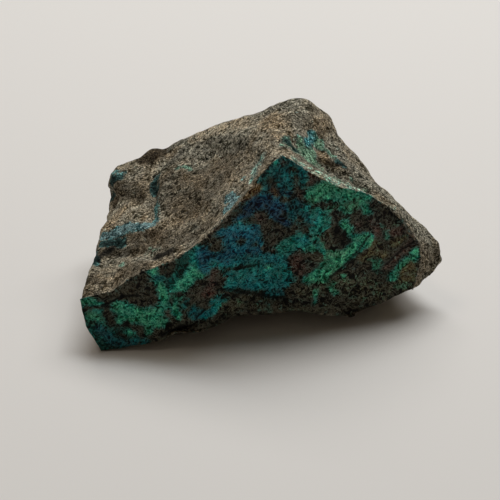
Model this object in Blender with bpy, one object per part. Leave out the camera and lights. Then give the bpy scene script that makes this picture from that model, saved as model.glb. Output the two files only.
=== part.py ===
"""Models a rough chrysocolla specimen: one broken lump of copper ore, as a single closed solid.

The stone stands on the floor as it is shown on a shelf. +Z is up and the broken, coloured face looks
towards -Y. The origin is on the floor, under the middle of the stone's box.

The form is a block with six sides. Ribs run from the edge of the broken face over the stone to its back
wall, and the broken face and the back wall are patches stretched between the ribs' ends. Relief is then
laid on it along the surface's normal: ledges, grooves, pits, knobs and the unevenness of each kind of
surface. Tables are in millimetres, and the mesh is in metres.
"""

import bpy
import numpy as np

MM = 0.001
LENGTH = 76.2 * MM
DEPTH = 49.5 * MM
HEIGHT = 43.5 * MM

CELL_MM = 0.65  # spacing of the grid that carries the relief
TRIANGLES = 8000  # what the faceted solid keeps of it
CREST_ROUNDING_MM = 1.3  # how far the weathered creases are rounded
STONE_COLOUR = (0.150, 0.118, 0.088, 1.0)

# A rib's five points (x, y, z): the broken face's edge, the shoulder, the middle, the rim, the back wall.
RIBS = (
    ("toe_tip", (-38.5, -22.5, 12), (-37, -14, 13), (-36, -4.5, 14.5), (-34, 10, 17), (-28, 15, 12)),
    ("toe_ridge", (-31.5, -22, 13.7), (-32, -11, 13.3), (-30, -5, 18), (-33.7, 10.5, 24.2), (-26, 18, 16)),
    ("low_ridge", (-26, -21.5, 17.7), (-26, -12.5, 17.5), (-26, -5.5, 21.5), (-27, 11.5, 26),
     (-22, 20, 20)),
    ("slit_ridge", (-18.5, -21.5, 20.7), (-19.5, -12.5, 22), (-21, -2, 25.5), (-21.5, 11, 29),
     (-17, 21, 22)),
    ("mid_ridge", (-12.5, -21, 25.2), (-13.5, -11, 26.5), (-14.5, 0.5, 28.5), (-16, 11, 31.5),
     (-11, 22, 25)),
    ("steep_ridge", (-8, -20, 29.4), (-9, -10, 30), (-10, 1.5, 31.5), (-10, 10.5, 34.5), (-6, 22.5, 27)),
    ("high_ridge", (-3, -17.5, 34.7), (-3.5, -8.5, 35), (-4.5, -1, 36), (-4, 8.5, 38), (-1, 22, 29)),
    ("under_apex", (1.5, -14.5, 39.5), (1, -10, 40), (1.5, -3.5, 40.5), (3.5, 6, 42), (5, 21, 31)),
    ("apex", (3.5, -13.5, 40.5), (4.5, -8.5, 40), (6, -2, 40.5), (8, 5, 43.5), (10, 19.5, 31)),
    ("first_fall", (9, -13.5, 36.5), (9, -8, 36.3), (11, -2, 37), (14.4, 4.5, 39.4), (15, 17, 28)),
    ("mid_fall", (15.5, -13, 32.8), (15.5, -9, 33), (16.5, -4, 33.5), (17.5, 3, 33.5), (20, 13.5, 24)),
    ("green_fall", (21.5, -11, 30), (22, -7.5, 29.5), (22.5, -4.5, 29), (23, -1, 28), (25, 9.5, 20)),
    ("low_fall", (28.4, -10.5, 24.9), (29.5, -5.5, 22.5), (30, -4, 21.5), (31, -2.5, 20.5), (29, 5.5, 16)),
    ("nose_top", (33.5, -10.5, 17), (35, -8, 15.5), (36, -6.5, 15), (37.4, -6, 14.7), (31.5, 2.5, 12)),
    ("nose", (33.7, -11.5, 13), (35.5, -8.8, 11.5), (37, -7.5, 11), (38, -7, 11), (31.5, 1.5, 8)),
    ("nose_foot", (32.2, -11.5, 6.3), (33.8, -10.5, 6.2), (35.2, -9, 6.7), (36.2, -8, 7.2), (28, 4.5, 4.5)),
    ("right_foot", (24, -14, 3.9), (25, -6.5, 1.5), (25, -0.5, 0), (24, 6.5, 1), (20, 13.5, 3)),
    ("heel", (19, -16, 2.2), (17.5, -10, 0.5), (16, 0, -0.5), (15, 13, 0), (14, 19.5, 3)),
    ("arch_right", (7.5, -17.5, 4.9), (6, -12, 3), (5.5, 1, 2), (6.5, 16, -0.5), (7, 23, 3)),
    ("arch", (-1, -17.8, 4.2), (-2, -12.5, 2.9), (-3, 1, 2), (-1.5, 18, -0.5), (-1, 24.5, 3)),
    ("arch_left", (-7, -19.2, 4.6), (-9, -14, 3), (-10, 0, 1.5), (-8.5, 18, -0.5), (-8, 24.5, 3)),
    ("flake_foot", (-13, -22.5, 3.0), (-15.5, -15, 2), (-15, -1.5, 1), (-14.5, 17, -0.5), (-14, 23.5, 3)),
    ("left_foot", (-20.5, -23.5, 2.4), (-22.5, -15.5, 0), (-21, -2.5, 0.5), (-20, 15, 0), (-19, 21.5, 3)),
    ("toe_foot", (-28.5, -24, 1), (-29, -15, -0.5), (-27, -3, 1), (-25.5, 12, 1), (-24, 18.5, 3.5)),
    ("toe_heel", (-34.5, -24.5, 0), (-33, -13, 0.5), (-31.5, -3.5, 2), (-30, 8.5, 3), (-28, 14.5, 4.5)),
    ("toe_side", (-37.5, -23.5, 6), (-35.5, -13, 6), (-34.5, -4, 7.5), (-33, 8, 9), (-29.5, 12.5, 8)),
)

# The ribs at which the block's four long edges run, in the order of RIBS.
CORNERS = ("toe_tip", "nose_top", "nose_foot", "toe_heel")

# Unevenness as (size of a swell, its height, seed), in mm: weathered crust, then the broken face.
CRUST_ROUGHNESS = ((13.0, 0.80, 1), (6.0, 0.45, 2), (3.0, 0.24, 3))
BREAK_ROUGHNESS = ((14.0, 0.60, 4), (6.0, 0.26, 5), (2.5, 0.12, 6))
CALM_RIM_MM = 3.5  # the crust is as calm as the broken face within this distance of the rim

# Ledges and grooves wander off their paths, and grow and shrink along them: size of a bend, its reach.
WANDER_MM = (6.0, 1.1)

# Ledges as (path, drop, width of the riser, reach): the side to the left of the path is the lower one.
LEDGES = (
    # The step under the left shoulder, and the two steps beside the central block.
    (((-25, 3, 24.5), (-29, 5, 23), (-32.5, 6.5, 21.5), (-36, 8, 20)), 1.3, 4.0, 12.0),
    (((-22.5, -10, 22), (-22.4, -3.4, 24), (-23, 0.7, 25), (-22, 3.5, 26), (-20, 6, 27.5), (-17, 7.3, 30)),
     1.3, 1.6, 9.0),
    (((-21.5, -10.5, 22.4), (-26, -8.5, 20), (-30.5, -6, 17.5), (-35, -4, 15)), 0.8, 2.0, 8.0),
    # The rim of the upper plateau, with the scoop in front of it.
    (((2.6, -12.5, 41), (0.3, -6.6, 39.5), (-3, 0.2, 37), (-8.3, 5, 34), (-13, 7.7, 31.5), (-18, 7.3, 29)),
     1.4, 4.5, 12.0),
    # The rise along the right shoulder, seen from the trough.
    (((36, -7, 16), (30.8, -6.6, 21), (24.2, -6, 27), (18.9, -4.6, 32), (14.6, -3.2, 36), (9, 2, 42)),
     1.0, 2.4, 6.5),
    # The fold of the broken face, and the flake at its foot.
    (((31, -11, 20.5), (27.3, -12, 17), (24.3, -12.7, 14), (20.5, -14.2, 12), (17, -14.8, 8.5),
      (13, -16, 6)), 0.9, 1.6, 15.0),
    (((-7, -19.3, 12.6), (-9.4, -20.4, 10.5), (-11.9, -21.2, 8), (-15.2, -22.7, 5.5), (-22, -23.5, 3)),
     0.9, 1.0, 6.0),
    # The back wall: a slanting joint, an upright one and the break under the peak.
    (((-22, 19.5, 11), (-6, 23, 16), (8, 19, 21), (24, 10, 22)), 2.0, 1.8, 17.0),
    (((4, 23, 3), (6, 22, 13), (3, 22, 24)), 1.3, 1.4, 13.0),
    (((20, 8, 30), (13, 14, 34), (4, 16, 37), (-4, 15, 34)), 1.6, 2.0, 9.0),
    # The underside.
    (((-16, 18, 0), (-13, 6, 1), (-4, -4, 2), (4, -14, 3)), 1.0, 1.6, 12.0),
)

# Rounded ribs, and grooves and pits where the height is negative, as (path, radius, height).
SWELLS = (
    (((-25.3, 11.6, 27),), 3.4, 1.2),  # knob on the back of the left shoulder
    (((-22, 11.5, 28.2),), 2.0, -0.7),  # and the notch beside it
    (((-33, 9, 23), (-34.5, 7.5, 19.5)), 3.0, 0.8),  # bulging corner of the left shoulder
    (((-34.5, -9.5, 13), (-29.5, -11, 16), (-26, -14.5, 17.5), (-21.5, -19.5, 20)), 1.6, -0.8),
    (((-34.5, -9, 13.2),), 2.2, -1.6),  # hole where the toe's groove leaves the stone
    (((-22.5, -19, 19.7), (-18, -19, 22.2)), 1.1, -0.9),  # slit behind the rim
    (((-23.6, -1, 24), (-23.6, 3, 25.5)), 2.0, -1.0),  # hollow at the foot of the central block
    (((-31, -17, 15), (-27, -18, 17)), 4.0, 0.7),  # the toe's rounded back
    (((5, -8.3, 40), (7.6, -7.4, 38.5), (11.3, -7.4, 36), (15.4, -7.5, 33.5)), 3.2, -1.1),  # right trough
    (((3.6, -12.3, 41), (7, -11.8, 38.5), (12.2, -11.4, 35), (17.4, -10.8, 32), (24, -9.6, 28)), 1.6, 0.4),
    (((12.5, -5.6, 36),), 1.5, -0.8),  # holes in the trough
    (((16.5, -6.5, 33),), 1.3, -0.7),
    (((11.8, 4.8, 41),), 1.6, -0.8),  # notch behind the peak
    (((37.8, -6.6, 14.8),), 1.8, 0.4),  # two knobs on the nose
    (((38, -7.2, 10.6),), 1.8, 0.5),
    (((38.2, -7, 12.7),), 1.4, -0.5),  # and the notch between them
    (((35.5, -8.5, 8),), 2.0, -0.6),
    (((-22, -23, 2.8), (-15.2, -22.7, 5.5), (-11.9, -21.2, 8), (-9.4, -20.4, 10.5)), 1.0, -0.9),
    (((-34, -23.4, 11.5), (-30.5, -23.2, 12.6), (-27, -22.8, 12.4), (-25, -22.6, 11)), 0.9, -0.4),
    (((-12, 23, 19),), 3.2, -1.2),  # the back wall's hollows
    (((15, 16.5, 13),), 3.6, -1.4),
    (((-22, 20, 8),), 2.6, -0.9),
    (((24, 8, 10), (18, 13, 7)), 2.8, 0.9),
    (((-12, -4, 1.5), (0, 4, 1.5), (10, 8, 1)), 5.0, -0.9),  # hollow of the underside
    (((-30, -8, 0.6),), 5.5, 0.8),  # the three places that it rests on
    (((22, 2, 0.4),), 5.5, 0.8),
    (((-8, 17, -0.4),), 6.0, 0.6),
)


def rib_net():
    """The ribs' points as an array: rib, point along the rib, coordinate."""
    return np.array([rib[1:] for rib in RIBS], float)


def lengths_along(curve):
    """Distance from the start of a polyline to each of its points."""
    return np.concatenate([[0.0], np.cumsum(np.linalg.norm(np.diff(curve, axis=0), axis=1))])


def even_steps(curve, count):
    """Where count equal lengths end along a polyline, in units of its points."""
    along = lengths_along(curve)
    return np.interp(np.linspace(0.0, along[-1], count + 1), along, np.arange(len(curve)))


def blend_rows(rows, at):
    """Rows of points read at fractional row numbers, straight between one row and the next."""
    below = np.clip(np.floor(at).astype(int), 0, len(rows) - 2)
    share = (at - below).reshape(-1, *[1] * (rows.ndim - 1))
    return rows[below] * (1 - share) + rows[below + 1] * share


def sleeve(net, cell):
    """The ribs' surface as a grid, going round the stone by columns and along the ribs by rows.

    Returns the grid, and how many columns each of the four sides has.
    """
    names = [rib[0] for rib in RIBS]
    corners = [names.index(name) for name in CORNERS] + [len(names)]
    closed = np.concatenate([net, net[:1]])
    edge = closed[:, 0]
    spans = [lengths_along(edge[a : b + 1])[-1] for a, b in zip(corners, corners[1:])]
    wide = round((spans[0] + spans[2]) / 2 / cell)
    tall = round((spans[1] + spans[3]) / 2 / cell)
    counts = (wide, tall, wide, tall)
    columns = [
        first + even_steps(edge[first : last + 1], count)[:-1]
        for first, last, count in zip(corners, corners[1:], counts)
    ]
    around = blend_rows(closed, np.concatenate(columns))
    mean_rib = net.mean(axis=0)
    depth = np.linalg.norm(np.diff(net, axis=1), axis=2).mean(axis=0)
    rows = round(depth.sum() / cell)
    steps = np.interp(
        np.linspace(0, depth.sum(), rows + 1),
        np.concatenate([[0.0], np.cumsum(depth)]),
        np.arange(len(mean_rib)),
    )
    return blend_rows(around.swapaxes(0, 1), steps), counts


def stretched_patch(top, right, foot, left):
    """A patch stretched between four edges: both ruled surfaces, less the flat one through the corners."""
    v = np.linspace(0, 1, len(left))[:, None, None]
    u = np.linspace(0, 1, len(top))[None, :, None]
    ruled = (1 - v) * foot[None] + v * top[None] + (1 - u) * left[:, None] + u * right[:, None]
    lower = (1 - u) * foot[0] + u * foot[-1]
    upper = (1 - u) * top[0] + u * top[-1]
    return ruled - (1 - v) * lower - v * upper


def end_patch(ring, counts):
    """Closes one end of the sleeve: ring runs round the top, the right edge, the foot and the left edge."""
    wide, tall = counts[:2]
    ring = np.concatenate([ring, ring[:1]])
    top = ring[: wide + 1]
    right = ring[wide : wide + tall + 1][::-1]
    foot = ring[wide + tall : 2 * wide + tall + 1][::-1]
    left = ring[2 * wide + tall :]
    return stretched_patch(top, right, foot, left)


def grid_faces(rows, columns, start):
    """Quads of a grid of points numbered row by row from start."""
    number = start + np.arange(rows * columns).reshape(rows, columns)
    quads = [number[:-1, :-1], number[:-1, 1:], number[1:, 1:], number[1:, :-1]]
    return np.stack(quads, axis=-1).reshape(-1, 4)


def block(cell):
    """The smooth block as (points, quads, is_break, is_rim).

    is_break marks the points of the broken face with its rim, and is_rim those of the rim alone.
    """
    shell, counts = sleeve(rib_net(), cell)
    front = end_patch(shell[0], counts)
    back = end_patch(shell[-1], counts)
    shell = np.concatenate([shell, shell[:, :1]], axis=1)
    grids = (shell, front, back[:, ::-1])
    starts = np.cumsum([0] + [grid.shape[0] * grid.shape[1] for grid in grids])
    points = np.concatenate([grid.reshape(-1, 3) for grid in grids])
    quads = np.concatenate([grid_faces(*grid.shape[:2], start) for grid, start in zip(grids, starts)])
    _, first, index = np.unique(np.round(points, 4), axis=0, return_index=True, return_inverse=True)
    index = index.reshape(-1)
    is_break, in_shell = np.zeros(len(first), bool), np.zeros(len(first), bool)
    is_break[index[starts[1] : starts[2]]] = True
    in_shell[index[: starts[1]]] = True
    return points[first], index[quads], is_break, is_break & in_shell


def distinct_edges(quads):
    """Each edge of the quads once, as pairs of point numbers."""
    ends = np.concatenate([quads[:, [i, (i + 1) % 4]] for i in range(4)])
    return np.unique(np.sort(ends, axis=1), axis=0)


def soften(points, quads, kept, passes):
    """Moves each point halfway to the mean of its neighbours, passes times over; kept points stay."""
    edges = distinct_edges(quads)
    both = np.concatenate([edges, edges[:, ::-1]])
    count = np.bincount(both[:, 0], minlength=len(points))[:, None]
    for _ in range(passes):
        total = np.stack(
            [np.bincount(both[:, 0], points[both[:, 1], axis], len(points)) for axis in range(3)], axis=1
        )
        points = np.where(kept[:, None], points, (points + total / count) / 2)
    return points


def normals_of(points, quads):
    """Outward unit normals: each point's is the mean of its faces' normals, weighted by their areas."""
    a, b, c, d = (points[quads[:, i]] for i in range(4))
    face = np.cross(c - a, d - b)
    total = np.zeros_like(points)
    for i in range(4):
        np.add.at(total, quads[:, i], face)
    return total / np.linalg.norm(total, axis=1, keepdims=True)


def noise(points, cell, seed):
    """Gradient noise from about -1 to 1, smooth over one cell.

    Each corner of a grid has its own slope, and the eight slopes round a point are blended by
    6t^5 - 15t^4 + 10t^3.
    """
    at = points / cell + (0.37 * seed, 0.71 * seed, 0.13 * seed)
    corner = np.floor(at).astype(np.int64)
    within = at - corner
    fade = within**3 * (within * (within * 6 - 15) + 10)
    total = np.zeros(len(points))
    for step in np.ndindex(2, 2, 2):
        mixed = ((corner + step) * (73856093, 19349663, 83492791)).sum(axis=1) + seed * 40503
        mixed = (mixed ^ (mixed >> 13)) * 1274126177 & 0x7FFFFFFF
        mixed = (mixed ^ (mixed >> 11)) * 668265263 & 0x7FFFFFFF
        slope = np.stack([(mixed >> shift & 255) / 127.5 - 1 for shift in (3, 12, 21)], axis=1)
        share = np.where(step, fade, 1 - fade).prod(axis=1)
        total += share * ((within - step) * slope).sum(axis=1)
    return total * 1.5


def smooth_step(value):
    """0 below 0 and 1 above 1, with 3t^2 - 2t^3 between."""
    t = np.clip(value, 0, 1)
    return t * t * (3 - 2 * t)


def beside_path(points, normals, path):
    """For each point: distance to a path, which side it is on (1 is the left), and how far along it is."""
    path = np.array(path, float)
    if len(path) == 1:
        return np.linalg.norm(points - path[0], axis=1), np.ones(len(points)), np.full(len(points), 0.5)
    along = lengths_along(path)
    nearest = np.full(len(points), np.inf)
    side = np.ones(len(points))
    share = np.zeros(len(points))
    for i in range(len(path) - 1):
        run = path[i + 1] - path[i]
        t = np.clip((points - path[i]) @ run / (run @ run), 0, 1)
        off = points - path[i] - t[:, None] * run
        gap = np.linalg.norm(off, axis=1)
        closer = gap < nearest
        nearest = np.where(closer, gap, nearest)
        turn = (np.cross(run, off) * normals).sum(axis=1)
        side = np.where(closer, np.where(turn >= 0, 1.0, -1.0), side)
        share = np.where(closer, (along[i] + t * (along[i + 1] - along[i])) / along[-1], share)
    return nearest, side, share


def wandered(points):
    """The points shifted by a slow noise, so that what follows a path laid among them wanders off it."""
    size, reach = WANDER_MM
    return points + reach * np.stack([noise(points, size, seed) for seed in (21, 22, 23)], axis=1)


def ledge(points, normals, path, drop, width, reach):
    """Height of a ledge: the left of the path drops over width, then rises again towards reach."""
    gap, side, share = beside_path(points, normals, path)
    ends = smooth_step(np.minimum(share, 1 - share) / 0.18)
    away = np.where(side > 0, gap, 0)
    return -drop * ends * smooth_step(away / width) * (1 - smooth_step((away - width) / (reach - width)))


def swell(points, normals, path, radius, height):
    """Height of a rounded rib, or of a groove when height is negative, along a path."""
    gap, _, share = beside_path(points, normals, path)
    ends = 1.0 if len(path) == 1 else smooth_step(np.minimum(share, 1 - share) / 0.2 + 0.35)
    return height * ends * (1 - np.clip(gap / radius, 0, 1) ** 2) ** 2


def relief(points, normals, is_break):
    """How far each point moves out along its normal, in mm."""
    crust = sum(height * noise(points, size, seed) for size, height, seed in CRUST_ROUGHNESS)
    broken = sum(height * noise(points, size, seed) for size, height, seed in BREAK_ROUGHNESS)
    edge = rib_net()[:, 0]
    gap, _, _ = beside_path(points, normals, np.concatenate([edge, edge[:1]]))
    away = np.where(is_break, 0, smooth_step(gap / CALM_RIM_MM))
    total = broken + away * (crust - broken)
    shifted = wandered(points)
    strength = 1 + 0.45 * noise(points, 1.3 * WANDER_MM[0], 24)
    for path, drop, width, reach in LEDGES:
        total += strength * ledge(shifted, normals, path, drop, width, reach)
    for path, radius, height in SWELLS:
        total += swell(shifted, normals, path, radius, height)
    return total


def fitted(points):
    """Stretches the stone to its driving sizes, in metres, about the middle of its box; height 0 stays."""
    low, high = points.min(axis=0), points.max(axis=0)
    middle = (low + high) / 2 * (1, 1, 0)
    size = np.array([high[0] - low[0], high[1] - low[1], high[2]])
    return (points - middle) / size * (LENGTH, DEPTH, HEIGHT)


def stone_surface(cell):
    """The stone's surface with its relief, as (points in metres, quads)."""
    points, quads, is_break, is_rim = block(cell)
    points = soften(points, quads, is_rim, round(2 * (CREST_ROUNDING_MM / cell) ** 2))
    normals = normals_of(points, quads)
    points = points + normals * relief(points, normals, is_break)[:, None]
    return fitted(points), quads


def stone_material():
    """Matt, weathered rock."""
    rock = bpy.data.materials.new("rock")
    rock.use_nodes = True
    shader = rock.node_tree.nodes["Principled BSDF"]
    shader.inputs["Base Color"].default_value = STONE_COLOUR
    shader.inputs["Roughness"].default_value = 0.85
    return rock


def mesh_object(name, points, faces):
    """A mesh object of that name in the scene."""
    mesh = bpy.data.meshes.new(name)
    mesh.from_pydata(points.tolist(), [], faces.tolist())
    thing = bpy.data.objects.new(name, mesh)
    bpy.context.scene.collection.objects.link(thing)
    return thing


def floor_block():
    """The cutter that takes off what lies below the floor, so that the stone rests on true flats."""
    across = 2 * LENGTH
    corners = [(x, y, z) for x in (-1, 1) for y in (-1, 1) for z in (-1, 0)]
    box = np.array(corners) * (across, across, 5 * MM)
    sides = np.array([(0, 1, 3, 2), (4, 6, 7, 5), (0, 4, 5, 1), (2, 3, 7, 6), (0, 2, 6, 4), (1, 5, 7, 3)])
    cutter = mesh_object("floor_block", box, sides)
    cutter.hide_render = True
    cutter.display_type = "WIRE"
    return cutter


def main():
    for thing in list(bpy.data.objects):
        bpy.data.objects.remove(thing)
    points, quads = stone_surface(CELL_MM)
    stone = mesh_object("specimen", points, quads)
    stone.data.materials.append(stone_material())
    fewer = stone.modifiers.new("fewer faces", "DECIMATE")
    fewer.ratio = TRIANGLES / (2 * len(quads))
    flats = stone.modifiers.new("resting flats", "BOOLEAN")
    flats.operation = "DIFFERENCE"
    flats.solver = "EXACT"
    flats.object = floor_block()


if __name__ == "__main__":
    main()
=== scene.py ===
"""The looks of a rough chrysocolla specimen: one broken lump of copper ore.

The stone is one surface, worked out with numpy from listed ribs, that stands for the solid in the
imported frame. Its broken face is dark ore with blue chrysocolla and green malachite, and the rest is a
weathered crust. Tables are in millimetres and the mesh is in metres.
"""

import math  # noqa: E402

import bpy  # noqa: E402
import numpy as np  # noqa: E402
from bpy.props import FloatProperty, FloatVectorProperty, PointerProperty  # noqa: E402
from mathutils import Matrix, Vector  # noqa: E402


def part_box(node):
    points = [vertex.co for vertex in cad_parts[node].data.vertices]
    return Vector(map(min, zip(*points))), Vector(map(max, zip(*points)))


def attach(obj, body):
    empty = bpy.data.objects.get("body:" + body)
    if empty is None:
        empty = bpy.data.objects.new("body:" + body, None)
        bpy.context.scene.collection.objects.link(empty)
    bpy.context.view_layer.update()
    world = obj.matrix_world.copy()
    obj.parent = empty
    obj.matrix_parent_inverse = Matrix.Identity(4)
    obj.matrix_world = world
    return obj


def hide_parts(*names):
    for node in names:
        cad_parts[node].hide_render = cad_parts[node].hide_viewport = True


bl_info = {
    "name": "Chrysocolla specimen",
    "version": (1, 0, 0),
    "blender": (4, 5, 0),
    "location": "3D View > Sidebar > Specimen",
    "description": "Builds a rough chrysocolla specimen and the plain stage that it is shown on",
    "category": "Object",
}

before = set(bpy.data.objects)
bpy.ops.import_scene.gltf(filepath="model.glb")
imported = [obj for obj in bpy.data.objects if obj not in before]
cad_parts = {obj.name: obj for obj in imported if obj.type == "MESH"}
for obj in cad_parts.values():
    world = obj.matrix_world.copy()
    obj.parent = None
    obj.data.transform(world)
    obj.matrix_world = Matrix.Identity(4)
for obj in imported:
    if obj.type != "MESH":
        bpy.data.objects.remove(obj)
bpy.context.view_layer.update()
LOW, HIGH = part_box("specimen")
MM = 0.001

# ---------------------------------------------------------------------------------------------------
# The stone's form
# ---------------------------------------------------------------------------------------------------

# How many cells the surface has: along the stone, up the broken face, and from that face to the back.
CELLS = (200, 90, 96)
ROW_CROWDING = 0.35  # how much closer together its rows are near the broken face
CREST_ROUNDING_MM = 1.3  # how far the weathered creases are rounded

# A rib's five points (x, y, z): the broken face's edge, the shoulder, the middle, the rim, the back wall.
RIBS = (
    ("toe_tip", (-38.5, -22.5, 12), (-37, -14, 13), (-36, -4.5, 14.5), (-34, 10, 17), (-28, 15, 12)),
    ("toe_ridge", (-31.5, -22, 13.7), (-32, -11, 13.3), (-30, -5, 18), (-33.7, 10.5, 24.2), (-26, 18, 16)),
    ("low_ridge", (-26, -21.5, 17.7), (-26, -12.5, 17.5), (-26, -5.5, 21.5), (-27, 11.5, 26),
     (-22, 20, 20)),
    ("slit_ridge", (-18.5, -21.5, 20.7), (-19.5, -12.5, 22), (-21, -2, 25.5), (-21.5, 11, 29),
     (-17, 21, 22)),
    ("mid_ridge", (-12.5, -21, 25.2), (-13.5, -11, 26.5), (-14.5, 0.5, 28.5), (-16, 11, 31.5),
     (-11, 22, 25)),
    ("steep_ridge", (-8, -20, 29.4), (-9, -10, 30), (-10, 1.5, 31.5), (-10, 10.5, 34.5), (-6, 22.5, 27)),
    ("high_ridge", (-3, -17.5, 34.7), (-3.5, -8.5, 35), (-4.5, -1, 36), (-4, 8.5, 38), (-1, 22, 29)),
    ("under_apex", (1.5, -14.5, 39.5), (1, -10, 40), (1.5, -3.5, 40.5), (3.5, 6, 42), (5, 21, 31)),
    ("apex", (3.5, -13.5, 40.5), (4.5, -8.5, 40), (6, -2, 40.5), (8, 5, 43.5), (10, 19.5, 31)),
    ("first_fall", (9, -13.5, 36.5), (9, -8, 36.3), (11, -2, 37), (14.4, 4.5, 39.4), (15, 17, 28)),
    ("mid_fall", (15.5, -13, 32.8), (15.5, -9, 33), (16.5, -4, 33.5), (17.5, 3, 33.5), (20, 13.5, 24)),
    ("green_fall", (21.5, -11, 30), (22, -7.5, 29.5), (22.5, -4.5, 29), (23, -1, 28), (25, 9.5, 20)),
    ("low_fall", (28.4, -10.5, 24.9), (29.5, -5.5, 22.5), (30, -4, 21.5), (31, -2.5, 20.5), (29, 5.5, 16)),
    ("nose_top", (33.5, -10.5, 17), (35, -8, 15.5), (36, -6.5, 15), (37.4, -6, 14.7), (31.5, 2.5, 12)),
    ("nose", (33.7, -11.5, 13), (35.5, -8.8, 11.5), (37, -7.5, 11), (38, -7, 11), (31.5, 1.5, 8)),
    ("nose_foot", (32.2, -11.5, 6.3), (33.8, -10.5, 6.2), (35.2, -9, 6.7), (36.2, -8, 7.2), (28, 4.5, 4.5)),
    ("right_foot", (24, -14, 3.9), (25, -6.5, 1.5), (25, -0.5, 0), (24, 6.5, 1), (20, 13.5, 3)),
    ("heel", (19, -16, 2.2), (17.5, -10, 0.5), (16, 0, -0.5), (15, 13, 0), (14, 19.5, 3)),
    ("arch_right", (7.5, -17.5, 4.9), (6, -12, 3), (5.5, 1, 2), (6.5, 16, -0.5), (7, 23, 3)),
    ("arch", (-1, -17.8, 4.2), (-2, -12.5, 2.9), (-3, 1, 2), (-1.5, 18, -0.5), (-1, 24.5, 3)),
    ("arch_left", (-7, -19.2, 4.6), (-9, -14, 3), (-10, 0, 1.5), (-8.5, 18, -0.5), (-8, 24.5, 3)),
    ("flake_foot", (-13, -22.5, 3.0), (-15.5, -15, 2), (-15, -1.5, 1), (-14.5, 17, -0.5), (-14, 23.5, 3)),
    ("left_foot", (-20.5, -23.5, 2.4), (-22.5, -15.5, 0), (-21, -2.5, 0.5), (-20, 15, 0), (-19, 21.5, 3)),
    ("toe_foot", (-28.5, -24, 1), (-29, -15, -0.5), (-27, -3, 1), (-25.5, 12, 1), (-24, 18.5, 3.5)),
    ("toe_heel", (-34.5, -24.5, 0), (-33, -13, 0.5), (-31.5, -3.5, 2), (-30, 8.5, 3), (-28, 14.5, 4.5)),
    ("toe_side", (-37.5, -23.5, 6), (-35.5, -13, 6), (-34.5, -4, 7.5), (-33, 8, 9), (-29.5, 12.5, 8)),
)

# The ribs at which the block's four long edges run, in the order of RIBS.
CORNERS = ("toe_tip", "nose_top", "nose_foot", "toe_heel")

# Unevenness as (size of a swell, its height, seed), in mm: weathered crust, then the broken face.
CRUST_ROUGHNESS = ((13.0, 0.80, 1), (6.0, 0.45, 2), (3.0, 0.24, 3), (1.6, 0.12, 7), (0.9, 0.07, 8))
BREAK_ROUGHNESS = ((14.0, 0.60, 4), (6.0, 0.26, 5), (2.5, 0.12, 6), (1.2, 0.05, 9))
# The crust's grain: long low ridges that run with the rim, as (width, height, seed), in mm.
GRAIN = ((2.6, 0.26, 41), (1.1, 0.13, 42))
GRAIN_STRETCH = 5.0  # how many times longer than wide they are
RIM_GRAIN = 0.3  # how much of it is left at the rim
CALM_RIM_MM = 3.5  # the crust is as calm as the broken face within this distance of the rim

# Ledges and grooves wander off their paths, in bends of this size and reach.
WANDER_MM = (6.0, 1.1)
# Ledges also grow and shrink by this share along swells of this size, and run out over this share of
# their length at each end. Ribs and grooves run out over a share too, down to a low blunt end.
LEDGE_CHANGE, LEDGE_CHANGE_MM, LEDGE_END = 0.45, 7.8, 0.18
SWELL_END, SWELL_BLUNTNESS = 0.2, 0.35

# Ledges as (path, drop, width of the riser, reach): the side to the left of the path is the lower one.
LEDGES = (
    # The step under the left shoulder, and the two steps beside the central block.
    (((-25, 3, 24.5), (-29, 5, 23), (-32.5, 6.5, 21.5), (-36, 8, 20)), 1.3, 4.0, 12.0),
    (((-22.5, -10, 22), (-22.4, -3.4, 24), (-23, 0.7, 25), (-22, 3.5, 26), (-20, 6, 27.5), (-17, 7.3, 30)),
     1.3, 1.6, 9.0),
    (((-21.5, -10.5, 22.4), (-26, -8.5, 20), (-30.5, -6, 17.5), (-35, -4, 15)), 0.5, 2.0, 8.0),
    # The rim of the upper plateau, with the scoop in front of it.
    (((2.6, -12.5, 41), (0.3, -6.6, 39.5), (-3, 0.2, 37), (-8.3, 5, 34), (-13, 7.7, 31.5), (-18, 7.3, 29)),
     0.9, 4.5, 12.0),
    # The rise along the right shoulder, seen from the trough.
    (((36, -7, 16), (30.8, -6.6, 21), (24.2, -6, 27), (18.9, -4.6, 32), (14.6, -3.2, 36), (9, 2, 42)),
     1.0, 2.4, 6.5),
    # The fold of the broken face, and the flake at its foot.
    (((31, -11, 20.5), (27.3, -12, 17), (24.3, -12.7, 14), (20.5, -14.2, 12), (17, -14.8, 8.5),
      (13, -16, 6)), 0.9, 1.6, 15.0),
    (((-7, -19.3, 12.6), (-9.4, -20.4, 10.5), (-11.9, -21.2, 8), (-15.2, -22.7, 5.5), (-22, -23.5, 3)),
     0.9, 1.0, 6.0),
    # The back wall: a slanting joint, an upright one and the break under the peak.
    (((-22, 19.5, 11), (-6, 23, 16), (8, 19, 21), (24, 10, 22)), 2.0, 1.8, 17.0),
    (((4, 23, 3), (6, 22, 13), (3, 22, 24)), 1.3, 1.4, 13.0),
    (((20, 8, 30), (13, 14, 34), (4, 16, 37), (-4, 15, 34)), 1.6, 2.0, 9.0),
    # The underside.
    (((-16, 18, 0), (-13, 6, 1), (-4, -4, 2), (4, -14, 3)), 1.0, 1.6, 12.0),
    # Low shelly steps on the central block.
    (((-19, -6, 25), (-18, -1, 26), (-18, 3, 27.5), (-15.5, 6, 29.5)), 0.3, 0.6, 4.0),
    (((-13, -9, 27), (-14.5, -4, 27.5), (-14, 1, 28.5), (-11, 4, 31)), 0.25, 0.6, 4.0),
)

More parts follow.
